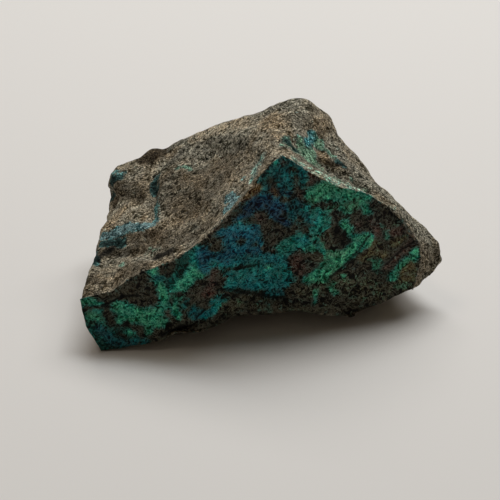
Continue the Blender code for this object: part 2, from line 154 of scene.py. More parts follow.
# Rounded ribs, and grooves and pits where the height is negative, as (path, radius, height).
SWELLS = (
    (((-25.3, 11.6, 27),), 3.4, 1.2),  # knob on the back of the left shoulder
    (((-22, 11.5, 28.2),), 2.0, -0.7),  # and the notch beside it
    (((-33, 9, 23), (-34.5, 7.5, 19.5)), 3.0, 0.8),  # bulging corner of the left shoulder
    (((-34.5, -9.5, 13), (-29.5, -11, 16), (-26, -14.5, 17.5), (-21.5, -19.5, 20)), 1.6, -0.8),
    (((-34.5, -9, 13.2),), 2.2, -1.6),  # hole where the toe's groove leaves the stone
    (((-22.5, -19, 19.7), (-18, -19, 22.2)), 1.1, -0.9),  # slit behind the rim
    (((-23.6, -1, 24), (-23.6, 3, 25.5)), 2.0, -1.0),  # hollow at the foot of the central block
    (((-31, -17, 15), (-27, -18, 17)), 4.0, 0.7),  # the toe's rounded back
    (((5, -8.3, 40), (7.6, -7.4, 38.5), (11.3, -7.4, 36), (15.4, -7.5, 33.5)), 3.2, -1.1),  # right trough
    (((3.6, -12.3, 41), (7, -11.8, 38.5), (12.2, -11.4, 35), (17.4, -10.8, 32), (24, -9.6, 28)), 1.6, 0.4),
    (((12.5, -5.6, 36),), 1.5, -0.8),  # holes in the trough
    (((16.5, -6.5, 33),), 1.3, -0.7),
    (((11.8, 4.8, 41),), 1.6, -0.8),  # notch behind the peak
    (((37.8, -6.6, 14.8),), 1.8, 0.4),  # two knobs on the nose, and the notch between them
    (((38, -7.2, 10.6),), 1.8, 0.5),
    (((38.2, -7, 12.7),), 1.2, -0.5),
    (((35.5, -8.5, 8),), 2.0, -0.6),
    (((-22, -23, 2.8), (-15.2, -22.7, 5.5), (-11.9, -21.2, 8), (-9.4, -20.4, 10.5)), 1.0, -0.9),
    (((-22.5, -23.1, 2.5), (-19.2, -23, 4.2), (-17.1, -22.8, 5.1), (-14, -22.3, 5.6)), 0.9, -1.5),
    (((-34, -23.4, 11.5), (-30.5, -23.2, 12.6), (-27, -22.8, 12.4), (-25, -22.6, 11)), 0.9, -0.4),
    (((-12, 23, 19),), 3.2, -1.2),  # the back wall's hollows
    (((15, 16.5, 13),), 3.6, -1.4),
    (((-22, 20, 8),), 2.6, -0.9),
    (((24, 8, 10), (18, 13, 7)), 2.8, 0.9),
    (((-12, -4, 1.5), (0, 4, 1.5), (10, 8, 1)), 5.0, -0.9),  # hollow of the underside
    (((-30, -8, 0.6),), 5.5, 0.8),  # the three places that it rests on
    (((22, 2, 0.4),), 5.5, 0.8),
    (((-8, 17, -0.4),), 6.0, 0.6),
)

# ---------------------------------------------------------------------------------------------------
# The stone's mineral patches, with its painted shadows and highlight
# ---------------------------------------------------------------------------------------------------

# What each mineral is, and each painted shadow or highlight, as the surface's four values: how surely
# copper mineral covers it (0 is hardly and 1 nearly everywhere), that mineral's hue from navy (0) through
# teal to green (1), tone (each step up is half as bright again, each step down a third darker), and rust.
MINERALS = {
    "brown ore": (-0.3, 0.6, 0.1, 0.3),
    "dark ore": (-0.25, 0.6, -0.9, 0.0),
    # Painted shadow: near black, laid into crevices and beside edges of the broken face.
    "painted crevice shadow": (-0.4, 0.6, -2.4, 0.0),
    "red ore": (-0.3, 0.6, 0.5, 1.0),
    "ochre ore": (-0.3, 0.6, 1.0, 2.2),
    "grey ore": (-0.25, 0.85, 1.0, 0.1),
    "green ore": (0.35, 0.9, 0.0, 0.2),
    "olive ore": (-0.25, 1.0, 0.7, -1.0),
    "navy": (0.85, 0.13, -0.4, 0.1),
    "blue": (1.0, 0.3, 0.0, 0.0),
    "bright blue": (1.2, 0.4, 0.7, 0.0),
    "teal": (1.1, 0.55, 0.0, 0.0),
    "bright teal": (1.2, 0.55, 0.7, 0.0),
    "deep teal": (0.8, 0.5, -0.9, 0.0),
    "slate teal": (0.7, 0.7, -1.7, 0.0),
    "sea green": (1.1, 0.72, 0.4, 0.0),
    "green": (1.0, 0.9, 0.2, 0.0),
    "bright green": (1.2, 0.88, 0.7, 0.0),
    "pale green": (1.2, 0.9, 1.6, 0.0),
    "deep green": (0.7, 0.85, -0.9, 0.0),
    "crust": (0.0, 0.5, 0.3, 0.5),
    "dark crust": (0.0, 0.5, -1.2, 0.5),
    # Painted shadow: near black, laid into the crust's holes and slits.
    "painted pit shadow": (0.0, 0.5, -7.0, 0.3),
    "dark brown crust": (0.0, 0.5, -3.0, 1.2),
    "dark grey crust": (0.0, 0.5, -0.6, 0.1),
    "brown crust": (0.0, 0.5, -1.1, 0.7),
    "grey crust": (0.0, 0.5, 0.4, 0.0),
    "olive crust": (0.0, 0.5, 0.9, 0.5),
    "tan crust": (0.0, 0.5, 0.5, 0.9),
    "rusty crust": (0.0, 0.5, -0.3, 1.8),
    "slate stain": (1.2, 0.2, 0.3, 0.0),
    "dark stain": (1.6, 0.55, -5.0, 0.0),
    "teal stain": (1.0, 0.5, -0.3, 0.0),
    "turquoise": (1.4, 0.42, 0.5, 0.0),
    "green stain": (1.1, 0.85, 0.3, 0.0),
    "faint green": (0.6, 0.85, 0.0, 0.1),
    # A worn rim with a painted highlight: pale and bright.
    "worn edge with painted highlight": (0.55, 0.7, 1.1, 0.2),
    "pale stain": (0.7, 0.6, 0.9, 0.0),
}

# Patches on the broken face, painted in this order: mineral (a few are painted shadow), path of (x, z),
# radius.
FACE_PATCHES = (
    ("slate teal", ((-36, 9), (-34, 4), (-31, 2.5)), 4.5),
    ("deep green", ((-35.5, 8.5), (-34, 6)), 1.8),
    ("green", ((-38, 11.3), (-34, 11.2)), 0.7),
    ("dark ore", ((-37, 9.8), (-31, 10)), 0.4),
    ("green", ((-36, 8), (-33.5, 7.6)), 0.6),
    ("olive ore", ((-35, 13), (-32, 14)), 0.8),
    ("deep teal", ((-34, 5), (-32.5, 3.4)), 1.2),
    ("dark ore", ((-32.5, 8.6), (-31.5, 6.5)), 0.9),
    ("brown ore", ((-32, 13), (-28, 14.3), (-24.5, 15.5)), 2.4),
    ("brown ore", ((-24.3, 12), (-23.6, 14)), 1.9),
    ("bright green", ((-30, 9.8), (-26, 8.6), (-23, 8), (-21.5, 9.5)), 1.7),
    ("green", ((-30, 7.2), (-25, 7)), 0.9),
    ("bright green", ((-21, 9.5), (-20.3, 13), (-21.3, 16), (-23, 18.6)), 1.1),
    ("deep teal", ((-21.8, 17), (-20.5, 16.8)), 0.6),
    ("slate teal", ((-18, 16), (-17.5, 21), (-16, 22)), 2.0),
    ("dark ore", ((-19.5, 18.5), (-18.5, 20.5)), 0.9),
    ("sea green", ((-13.8, 24), (-14.3, 20.5)), 1.1),
    ("bright green", ((-14, 18.5), (-15.5, 16.2), (-17.5, 14.8)), 1.5),
    ("green", ((-13, 17.3),), 0.9),
    ("deep green", ((-17.8, 12.5),), 1.3),
    ("brown ore", ((-17.3, 13.3),), 0.5),
    ("brown ore", ((-20, 8.6), (-19.8, 7)), 0.7),
    ("bright green", ((-18.5, 10), (-17.6, 7.4)), 0.9),
    ("deep teal", ((-16, 10.5), (-14.5, 8.5)), 1.3),
    ("brown ore", ((-14.5, 11.4), (-15.8, 9)), 0.45),
    ("bright green", ((-25, 7.5), (-23, 6.2), (-20.8, 6.6)), 1.1),
    ("green", ((-24.3, 5.5), (-24, 4.4)), 0.8),
    ("deep teal", ((-31, 2), (-25, 2.2)), 1.2),
    ("dark ore", ((-30.3, 5.4), (-28.6, 6.1), (-26.4, 5.7), (-25.8, 4.2)), 0.5),
    ("dark ore", ((-30, 4), (-29, 3.1)), 0.4),
    ("bright green", ((-28, 4.4),), 0.7),
    # painted shadow in the crevice above the flake at the face's foot
    ("painted crevice shadow", ((-20.8, 3.6), (-19.5, 4), (-17.5, 4.9), (-16, 5.3), (-14.5, 5.4)), 0.4),
    ("deep teal", ((-14, 7), (-13, 8.2)), 0.9),
    ("bright teal", ((-12.6, 6.4), (-10.5, 7.4), (-8.8, 8.8)), 1.0),
    ("teal", ((-10.5, 10), (-9.5, 10.8)), 0.7),
    ("teal", ((-5, 13.8), (-3, 13.5), (3, 13.5)), 3.2),
    ("teal", ((-6.5, 18.8), (0, 18), (3, 18)), 2.8),
    ("blue", ((-10, 20.5), (-8, 24), (-3, 24), (-1, 23)), 3.6),
    ("blue", ((-12.8, 23.5), (-12.5, 20)), 0.9),
    ("red ore", ((-9.8, 17.4), (-10.4, 14.5), (-11.6, 12.8)), 1.5),
    ("brown ore", ((-8.6, 16.8), (-9, 12.5)), 1.0),
    # painted shadow under the ledge's edge, where the blue ends
    ("painted crevice shadow", ((-6.8, 10.9), (-5.8, 9.6)), 0.7),
    ("grey ore", ((-8, 7.5), (-4, 8.3), (0, 7)), 1.3),
    ("dark ore", ((-3.5, 8), (0, 7.6), (3, 7.6)), 0.8),
    ("bright blue", ((-7.8, 27), (-6, 27.4), (-3.6, 27)), 1.1),
    ("bright blue", ((-7, 25), (-5.8, 22)), 0.7),
    ("bright teal", ((-10.5, 20), (-8.6, 18.7), (-7.7, 16.8)), 0.7),
    ("brown ore", ((-4.7, 23.5),), 0.8),
    ("dark ore", ((-1.8, 22.2),), 0.5),
    ("red ore", ((-10.8, 28), (-9.6, 28.4)), 1.0),
    ("brown ore", ((-11.2, 26), (-10, 25), (-9.8, 23.6)), 1.4),
    ("dark ore", ((-9.5, 30.5), (-8.2, 28.8)), 0.9),
    ("bright teal", ((-7.5, 13), (-5, 14), (-1, 14.5), (2, 12.3)), 1.1),
    ("bright teal", ((-6.5, 15.8), (-3, 15.4)), 0.5),
    ("bright teal", ((-1.5, 11.5), (2, 11)), 0.8),
    # Thin painted shadow, drawn in dark ore, under the fold's edge and under the ledge's edge.
    ("dark ore", ((-7.6, 17.6), (-6.4, 17), (-3.6, 17.2)), 0.3),
    ("dark ore", ((-6, 11.8), (-4, 10.8), (-1, 9.6)), 0.3),
    ("deep teal", ((0, 9.4), (3.5, 9.4)), 0.8),
    ("deep teal", ((0, 36), (5, 37), (3, 39)), 3.6),
    ("navy", ((-5, 31.5), (0, 31), (5, 30.6)), 2.4),
    ("dark ore", ((-8, 31), (-6, 31.5)), 1.3),
    ("ochre ore", ((-4, 34), (-1.6, 35.2)), 1.3),
    ("dark ore", ((-4.2, 32.8),), 0.7),
    ("ochre ore", ((1.7, 34.3), (2.2, 32.6)), 0.6),
    ("brown ore", ((3.8, 31.7), (6, 30.8)), 0.7),
    ("red ore", ((7, 32.5),), 0.9),
    ("red ore", ((3.6, 39.4),), 0.7),
    ("dark ore", ((1.2, 36.2), (2, 35.2)), 0.6),
    ("red ore", ((8.8, 37), (9.6, 35)), 1.1),
    ("dark ore", ((5.6, 37.8),), 0.5),
    ("pale green", ((2, 39.5),), 0.4),
    ("bright teal", ((1, 38.2),), 0.6),
    ("teal", ((3.8, 36), (5.4, 34.2)), 0.7),
    ("teal", ((7.6, 37), (7.6, 34.4)), 0.6),
    ("brown ore", ((6.4, 36), (6, 32.6)), 0.5),
    ("brown ore", ((-0.8, 28.8), (1, 26)), 1.2),
    ("brown ore", ((1.2, 24.8), (2, 22.5), (1.5, 21.2)), 1.9),
    ("brown ore", ((3.6, 24.3),), 0.9),
    ("navy", ((1.6, 28.8), (4.6, 26)), 1.0),
    ("deep teal", ((6, 29.5), (8, 26.5)), 1.8),
    ("brown ore", ((6.6, 27.2), (8.4, 25)), 0.6),
    ("teal", ((8.2, 29.2),), 0.9),
    ("green", ((9.8, 32), (13, 33), (17, 31.5), (20.5, 29.3)), 1.9),
    ("bright green", ((13, 31), (16.5, 30.5)), 0.9),
    ("green ore", ((14, 28.3), (18, 28.3)), 1.3),
    ("deep green", ((15.5, 27), (16.2, 28.8)), 0.7),
    ("green", ((20.8, 27.5), (21.2, 26.3)), 1.0),
    ("sea green", ((11, 27.6), (12, 26), (11, 24.3)), 1.7),
    ("bright teal", ((11, 28), (10.6, 26)), 0.6),
    ("sea green", ((4.2, 20.2), (7, 22), (9, 21.4)), 1.9),
    ("bright teal", ((6.8, 22.2), (8.6, 22)), 0.6),
    ("green", ((8.4, 19.4), (10.4, 19.8)), 0.7),
    ("grey ore", ((10.5, 22), (13, 21.5), (12.5, 19)), 1.1),
    ("brown ore", ((14.6, 27), (15.2, 24.5)), 1.0),
    # painted shadow beyond the arc's edge
    ("painted crevice shadow", ((15.2, 23), (15.8, 21.4), (16.9, 20.6)), 1.1),
    ("bright green", ((16.4, 25), (17.4, 22.8)), 0.9),
    ("bright green", ((18.5, 21.3), (20, 21), (22.3, 21.2)), 0.8),
    ("red ore", ((19.6, 24), (22, 23.8)), 1.3),
    ("dark ore", ((20.5, 24.8), (21.5, 23)), 0.7),
    ("bright green", ((20.8, 20), (18, 18.4), (16, 16.6)), 1.9),
    ("green", ((14.5, 17.3), (13.2, 15), (11.5, 12.6)), 2.1),
    ("bright green", ((9, 12.5), (11.6, 13)), 1.0),
    ("red ore", ((6.4, 17), (7.3, 15)), 1.6),
    ("red ore", ((-1.8, 29.2), (-0.6, 27.8)), 0.8),
    ("sea green", ((10.6, 22), (12.2, 18.9)), 0.7),
    ("grey ore", ((11, 17.3),), 1.2),
    ("grey ore", ((16, 11), (20, 9), (25, 8)), 3.0),
    ("grey ore", ((8, 9.5), (12, 10)), 1.6),
    ("brown ore", ((18, 15), (21, 17)), 1.2),
    ("red ore", ((24, 22), (28, 21.4), (30, 19.5)), 1.8),
    ("grey ore", ((26.3, 22.6), (27.6, 22.8)), 0.5),
    ("olive ore", ((20.5, 16), (23.5, 17.5)), 1.0),
    ("dark ore", ((28.5, 23.5), (31, 20.5)), 0.6),
    ("green ore", ((24.6, 23), (25.4, 20)), 0.4),
    ("olive ore", ((23, 18.5), (24.5, 16.5)), 1.1),
    ("olive ore", ((27, 18.6), (29, 19)), 0.9),
    ("deep green", ((23.5, 14.5), (24.5, 12)), 1.1),
    ("green ore", ((22.6, 15.6),), 0.7),
    ("red ore", ((25.5, 12.5), (27.5, 14.6), (31, 17.3)), 1.0),
    ("dark ore", ((25, 11), (26, 9)), 0.9),
    ("bright green", ((32, 15.5), (31.4, 14)), 0.9),
    ("green", ((29.8, 13.4), (28.2, 11.5), (27.3, 9.8)), 1.1),
    ("olive ore", ((31, 11.5), (30, 8)), 1.6),
    ("green ore", ((28.5, 7.5), (30.5, 7.6)), 0.7),
    ("bright green", ((10.8, 9.6), (10.6, 6.6)), 0.35),
    ("green", ((14, 10.5), (14.8, 8.6)), 0.5),
    ("green", ((16.6, 12.5),), 0.6),
    ("brown ore", ((22.8, 28), (24.5, 26.2)), 0.9),
    ("pale green", ((0.9, 15.8),), 0.5),
    ("grey ore", ((5, 5.4), (10, 5.6), (15, 5)), 0.5),
)

# Patches on what faces up, as (x, y).
TOP_PATCHES = (
    ("olive crust", ((-20, 14), (-9, 8), (-4, 5), (3, 9)), 4.0),
    ("grey crust", ((-8, 13), (0, 8), (6, 5)), 2.0),
    ("tan crust", ((1, 2), (3, -3), (4, -5)), 2.2),
    # the pale strip along the rim: wear, and a painted highlight on it
    ("worn edge with painted highlight", ((3.5, -12.2), (9, -11.8), (15.5, -11.2), (21.5, -9.6), (27, -9)), 1.2),
    ("olive crust", ((-1.3, -2.8), (-0.2, -6.4), (2.2, -11.1), (4.5, -12.5)), 0.7),
    ("brown crust", ((-18, -1), (-14, -8), (-10, -3)), 5.0),
    ("brown crust", ((-26, -10.5), (-19.4, -15), (-13, -17)), 2.0),
    ("grey crust", ((-14.1, -15.8),), 0.8),
    ("olive crust", ((-35, 3), (-31, 3.5), (-28, -3), (-24, -6)), 1.9),
    ("tan crust", ((-31, 0.5), (-34, -2)), 1.4),
    ("dark stain", ((-36.5, -11),), 0.8),
    ("rusty crust", ((-25.6, -5.1),), 0.5),
    ("olive crust", ((-27.7, 9.5), (-22, 8)), 0.9),
    ("brown crust", ((-31.6, 5.9), (-28.5, 4.3), (-25.6, 1.5)), 1.5),
    ("dark stain", ((-33.6, 7.8), (-31, 7.6)), 0.6),
    ("teal stain", ((-33, 9.2), (-30.5, 8.8)), 0.5),
    ("dark brown crust", ((-26.6, 11.2), (-24.2, 10.8), (-22.4, 11.2)), 1.5),
    ("dark brown crust", ((-25.6, 12.8), (-21, 12.8)), 1.4),
    ("dark grey crust", ((-20, 11.4), (-17.6, 11.2)), 1.3),
    ("dark grey crust", ((-20.5, 6.5), (-16, 8.3), (-10.6, 5.7), (-6.5, 2), (-4.4, -1.5)), 1.3),
    ("dark stain", ((-23.3, 4.6), (-23.8, 3), (-23.2, 1)), 0.7),
    ("teal stain", ((-23.2, 5.6),), 0.4),
    ("teal stain", ((-22.7, -3), (-22.7, -5.7), (-22.5, -8)), 0.5),
    ("slate stain", ((-34.3, -4.4), (-30.6, -5.5), (-26.3, -7.3), (-23.4, -8.2)), 1.0),
    ("dark stain", ((-34.2, -6.8), (-31.8, -7.3), (-30.1, -8.3)), 0.8),
    # painted shadow in the hole where the toe's groove leaves the stone
    ("painted pit shadow", ((-35.6, -10.1), (-34, -9.5), (-32.3, -9)), 0.7),
    ("dark stain", ((-35.8, -8.6), (-35.4, -11.8)), 0.7),
    ("dark crust", ((-31.5, -9.6), (-29.2, -10), (-27.6, -13.2), (-25, -17)), 0.4),
    ("brown crust", ((-35, -17), (-30, -18.5), (-25, -20)), 1.9),
    ("tan crust", ((-34, -17), (-31, -19)), 0.8),
    ("green stain", ((-29.8, -14), (-29.4, -15.6)), 0.5),
    ("faint green", ((-24.2, -14.3), (-22, -16)), 0.6),
    # painted shadow in the slit behind the rim
    ("painted pit shadow", ((-22.2, -17.8), (-20.8, -18.2), (-19.4, -18.2)), 0.6),
    ("green stain", ((-18.7, 3.7), (-16.8, 3.3), (-15.6, 2)), 0.5),
    ("grey crust", ((-16, 7), (-11, 5), (-6, 1.5)), 1.3),
    ("slate stain", ((-7.3, -14.4), (-6.2, -15.6), (-7.6, -16.8)), 1.1),
    ("teal stain", ((-4.5, -10.6),), 0.5),
    ("pale stain", ((-0.7, -8.7), (-2, -9.5), (-2.5, -13.5)), 0.9),
    ("dark crust", ((-37, -21), (-35, -21.5)), 1.0),
    ("faint green", ((5, -7), (9, -6.5), (12, -7)), 1.9),
    ("dark grey crust", ((8, -10), (12, -8.5), (16, -7.5)), 1.2),
    ("green stain", ((7.4, -4.6), (8.9, -6.2), (10.2, -3.8)), 0.9),
    ("green stain", ((10.6, -1), (12, -1.4), (14.4, -2.8)), 1.1),
    ("turquoise", ((8.8, -3.2), (9.3, -2.3), (9.9, -0.4)), 0.7),
    ("dark stain", ((4.6, -6.4), (6, -6.6)), 0.7),
    ("rusty crust", ((11.6, -3.3), (12.9, -4.3)), 0.7),
    ("dark brown crust", ((13.2, -4.8), (15, -5.2)), 0.4),
    ("dark stain", ((15.4, -4.4), (16.6, -4.4)), 0.6),
    ("faint green", ((14, -9), (18, -8.4), (21.5, -8)), 1.4),
    ("green stain", ((18.3, -5.9),), 0.4),
    ("grey crust", ((14, -1), (21, -4.5), (28, -5), (34, -6.5)), 1.6),
)

# Patches on what faces back, as (x, z), and on the underside, as (x, y).
BACK_PATCHES = (
    ("brown crust", ((-24, 9), (-14, 7), (-6, 9)), 2.5),
    ("brown crust", ((6, 6), (16, 4), (22, 7)), 2.0),
    ("dark grey crust", ((-18, 14), (-10, 17), (0, 18)), 1.6),
    ("tan crust", ((-2, 29), (5, 27), (8, 31)), 2.2),
    ("olive crust", ((12, 25), (18, 22), (24, 23)), 2.0),
    ("grey crust", ((-6, 24), (2, 22)), 2.4),
    ("faint green", ((8, 10), (11, 12), (15, 11), (18, 8)), 1.2),
    ("green stain", ((10, 11.4), (13, 11.6)), 0.3),
    ("pale stain", ((-16, 19), (-11, 17), (-9, 13), (-5, 11)), 0.8),
    ("teal stain", ((-11.5, 16.6), (-9.6, 13.8)), 0.2),
    ("pale stain", ((19, 20), (22, 18), (24, 14)), 0.7),
    ("rusty crust", ((-2, 12), (1, 8)), 0.8),
)
UNDER_PATCHES = (
    ("brown crust", ((-10, 0), (5, 6)), 5.0),
    ("faint green", ((20, -6), (15, -7), (10, -10)), 1.5),
    ("pale stain", ((-30, -2), (-26, 3), (-21, 5)), 1.2),
    ("dark grey crust", ((-6, -10), (4, -6), (14, -2)), 2.0),
    ("rusty crust", ((-4, 14), (6, 17)), 2.6),
)

# Pale scratches and chipped edges of the broken face, as paths of (x, z).
SCRATCHES = (
    ((12.5, 28), (13.6, 26.4), (14.2, 24), (13.6, 21), (12.7, 18)),
    ((26.2, 16.4), (29.5, 17.8), (31.8, 18.8)),
    ((23.2, 22.5), (22.6, 19.5), (20.8, 18)),
    ((24.4, 24.5), (24.8, 22)),
    ((6, 23.6), (8.4, 24.8), (10, 25.2)),
    ((-8.4, 20.5), (-7.5, 17.8), (-6.4, 16.4), (-5, 15.6)),
    ((-11, 10.2), (-12.6, 9.4), (-14, 7.6)),
    ((-15.2, 9.8), (-13.8, 11.4)),
    ((-24.6, 14), (-23.2, 13.4), (-22.4, 12), (-22.8, 10.6)),
    ((-25.4, 13), (-24.2, 12.4), (-23.8, 11.2)),
    ((-20.4, 2.9), (-18, 2.7), (-15.5, 3.2), (-12, 4.2)),
    ((4, 5.3), (9, 5.5), (14.5, 4.9)),
    ((10.2, 8), (9.8, 6)),
    ((-7.6, 8.4), (-6.4, 7.6)),
    ((8, 17.6), (10.6, 18.4), (11.8, 16.4)),
)
# Painted shadow in the broken face's cracks and under its undercut edges, drawn as dark lines.
CRACK_SHADOWS = (
    ((-33.5, 10.3), (-31.5, 11.3), (-29.5, 12.2), (-27, 12.8), (-25, 12.9), (-24, 12.2), (-23.6, 11)),
    ((-33, 10.5), (-30.5, 9.4)),
    ((-21.4, 3.5), (-19, 4.6), (-16.5, 5.3)),
    ((-16.8, 4.5), (-15.4, 4.3), (-14, 4.9)),
    ((-9.6, 21.8), (-12, 21.6)),
    ((-8, 17.8), (-6.6, 17), (-3.5, 17.1), (-2, 16.8)),
    ((-9.5, 12.8), (-7, 11.8), (-5, 11.2), (-3.5, 10.2), (-1.5, 9.3), (2, 8.4), (4.4, 8.4)),
    ((25.4, 13.4), (28.4, 15.8), (31.8, 18)),
    ((14.3, 27.6), (14.9, 25), (14.6, 22.5)),
    ((21.6, 21), (19.6, 18.2), (17.4, 16.2), (15, 13.6), (13, 11.4)),
    ((-14, 7), (-12.6, 8.6)),
)
LINE_MM = 0.2  # from the middle of a scratch or crack to where it has half its strength
LINE_WANDER_MM = ((3.0, 0.3), (0.8, 0.12))  # its bends: their size and reach
FACE_EDGE_MM, CRUST_EDGE_MM = 1.6, 1.1  # how wide a patch's edge is
PATCH_WANDER_MM = ((2.6, 0.45), (1.1, 0.35))  # bends of that edge: their size and reach
TOP_START, BACK_START, UNDER_START = -0.267, 0.1, 0.1  # part of the normal where those patches begin
FACING_FADE = 1 / 3  # and how much more of it there is where they are whole

# What the surface carries at each point: the four mineral values, how many mm inside the broken face
# it is, and its lines: 1 on a scratch and -1 in a crack, where shadow is painted.
ATTRIBUTES = ("copper", "hue", "tone", "rust", "inside", "lines")


def lengths_along(curve):
    """Distance from the start of a polyline to each of its points."""
    return np.concatenate([[0.0], np.cumsum(np.linalg.norm(np.diff(curve, axis=0), axis=1))])


def even_steps(curve, count):
    """Where count equal lengths end along a polyline, in units of its points."""
    along = lengths_along(curve)
    return np.interp(np.linspace(0.0, along[-1], count + 1), along, np.arange(len(curve)))


def blend_rows(rows, at):
    """Rows of points read at fractional row numbers, straight between one row and the next."""
    below = np.clip(np.floor(at).astype(int), 0, len(rows) - 2)
    share = (at - below).reshape(-1, *[1] * (rows.ndim - 1))
    return rows[below] * (1 - share) + rows[below + 1] * share


def sleeve():
    """The ribs' surface as a grid: around the stone by columns, and along the ribs by rows.

    A point lies straight between two ribs and straight between two of their five points. Columns are
    evenly spaced along each side of the broken face, and rows are closer together near that face.
    """
    net = np.array([rib[1:] for rib in RIBS], float)
    names = [rib[0] for rib in RIBS]
    corners = [names.index(name) for name in CORNERS] + [len(names)]
    closed = np.concatenate([net, net[:1]])
    wide, tall, deep = CELLS
    columns = [
        first + even_steps(closed[first : last + 1, 0], count)[:-1]
        for first, last, count in zip(corners, corners[1:], (wide, tall, wide, tall))
    ]
    around = blend_rows(closed, np.concatenate(columns))
    depth = np.concatenate([[0.0], np.cumsum(np.linalg.norm(np.diff(net, axis=1), axis=2).mean(axis=0))])
    even = np.linspace(0, 1, deep + 1)
    reached = (even + ROW_CROWDING * even**2) / (1 + ROW_CROWDING) * depth[-1]
    steps = np.interp(reached, depth, np.arange(net.shape[1]))
    return blend_rows(around.swapaxes(0, 1), steps)


def end_patch(ring):
    """Closes one end of the sleeve with a patch stretched between its four sides.

    The patch is the sum of the two ruled surfaces between opposite sides, less the flat surface through
    the four corners.
    """
    wide, tall = CELLS[:2]
    ring = np.concatenate([ring, ring[:1]])
    top = ring[: wide + 1]
    right = ring[wide : wide + tall + 1][::-1]
    foot = ring[wide + tall : 2 * wide + tall + 1][::-1]
    left = ring[2 * wide + tall :]
    v = np.linspace(0, 1, len(left))[:, None, None]
    u = np.linspace(0, 1, len(top))[None, :, None]
    ruled = (1 - v) * foot[None] + v * top[None] + (1 - u) * left[:, None] + u * right[:, None]
    lower = (1 - u) * foot[0] + u * foot[-1]
    upper = (1 - u) * top[0] + u * top[-1]
    return ruled - (1 - v) * lower - v * upper


def grid_faces(rows, columns, start):
    """Quads of a grid of points numbered row by row from start."""
    number = start + np.arange(rows * columns).reshape(rows, columns)
    quads = [number[:-1, :-1], number[:-1, 1:], number[1:, 1:], number[1:, :-1]]
    return np.stack(quads, axis=-1).reshape(-1, 4)


def block():
    """The smooth block as (points, quads, is_break, is_rim).

    is_break marks the points of the broken face with its rim, and is_rim those of the rim alone.
    """
    shell = sleeve()
    front, back = end_patch(shell[0]), end_patch(shell[-1])
    shell = np.concatenate([shell, shell[:, :1]], axis=1)
    grids = (shell, front, back[:, ::-1])
    starts = np.cumsum([0] + [grid.shape[0] * grid.shape[1] for grid in grids])
    points = np.concatenate([grid.reshape(-1, 3) for grid in grids])
    quads = np.concatenate([grid_faces(*grid.shape[:2], start) for grid, start in zip(grids, starts)])
    _, first, index = np.unique(np.round(points, 4), axis=0, return_index=True, return_inverse=True)
    index = index.reshape(-1)
    is_break, in_shell = np.zeros(len(first), bool), np.zeros(len(first), bool)
    is_break[index[starts[1] : starts[2]]] = True
    in_shell[index[: starts[1]]] = True
    return points[first], index[quads], is_break, is_break & in_shell


def soften(points, quads, kept, passes):
    """Moves each point halfway to the mean of its neighbours, passes times over; kept points stay."""
    ends = np.concatenate([quads[:, [i, (i + 1) % 4]] for i in range(4)])
    edges = np.unique(np.sort(ends, axis=1), axis=0)
    both = np.concatenate([edges, edges[:, ::-1]])
    count = np.bincount(both[:, 0], minlength=len(points))[:, None]
    for _ in range(passes):
        total = np.stack(
            [np.bincount(both[:, 0], points[both[:, 1], axis], len(points)) for axis in range(3)], axis=1
        )
        points = np.where(kept[:, None], points, (points + total / count) / 2)
    return points


def normals_of(points, quads):
    """Outward unit normals: each point's is the mean of its faces' normals, weighted by their areas."""
    a, b, c, d = (points[quads[:, i]] for i in range(4))
    face = np.cross(c - a, d - b)
    total = np.stack(
        [sum(np.bincount(quads[:, i], face[:, axis], len(points)) for i in range(4)) for axis in range(3)],
        axis=1,
    )
    return total / np.linalg.norm(total, axis=1, keepdims=True)


def noise(points, cell, seed):
    """Gradient noise from about -1 to 1, smooth over one cell.

    Each corner of a grid has its own slope, and the eight slopes round a point are blended by
    6t^5 - 15t^4 + 10t^3.
    """
    at = points / cell + (0.37 * seed, 0.71 * seed, 0.13 * seed)
    corner = np.floor(at).astype(np.int64)
    within = at - corner
    fade = within**3 * (within * (within * 6 - 15) + 10)
    total = np.zeros(len(points))
    for step in np.ndindex(2, 2, 2):
        mixed = ((corner + step) * (73856093, 19349663, 83492791)).sum(axis=1) + seed * 40503
        mixed = (mixed ^ (mixed >> 13)) * 1274126177 & 0x7FFFFFFF
        mixed = (mixed ^ (mixed >> 11)) * 668265263 & 0x7FFFFFFF
        slope = np.stack([(mixed >> shift & 255) / 127.5 - 1 for shift in (3, 12, 21)], axis=1)
        share = np.where(step, fade, 1 - fade).prod(axis=1)
        total += share * ((within - step) * slope).sum(axis=1)
    return total * 1.5


def smooth_step(value):
    """0 below 0 and 1 above 1, with 3t^2 - 2t^3 between."""
    t = np.clip(value, 0, 1)
    return t * t * (3 - 2 * t)


def wandered(points, bends, seed):
    """The points shifted by slow noises, so that what follows a path laid among them wanders off it."""
    for i, (size, reach) in enumerate(bends):
        shift = [noise(points, size, seed + 3 * i + axis) for axis in range(3)]
        points = points + reach * np.stack(shift, axis=1)
    return points


def beside_path(points, normals, path):
    """For each point: distance to a path, which side it is on (1 is the left), and how far along it is."""
    path = np.array(path, float)
    if len(path) == 1:
        return np.linalg.norm(points - path[0], axis=1), np.ones(len(points)), np.full(len(points), 0.5)
    along = lengths_along(path)
    nearest = np.full(len(points), np.inf)
    side = np.ones(len(points))
    share = np.zeros(len(points))
    for i in range(len(path) - 1):
        run = path[i + 1] - path[i]
        t = np.clip((points - path[i]) @ run / (run @ run), 0, 1)
        off = points - path[i] - t[:, None] * run
        gap = np.linalg.norm(off, axis=1)
        closer = gap < nearest
        nearest = np.where(closer, gap, nearest)
        if normals is not None:
            turn = (np.cross(run, off) * normals).sum(axis=1)
            side = np.where(closer, np.where(turn >= 0, 1.0, -1.0), side)
        share = np.where(closer, (along[i] + t * (along[i + 1] - along[i])) / along[-1], share)
    return nearest, side, share


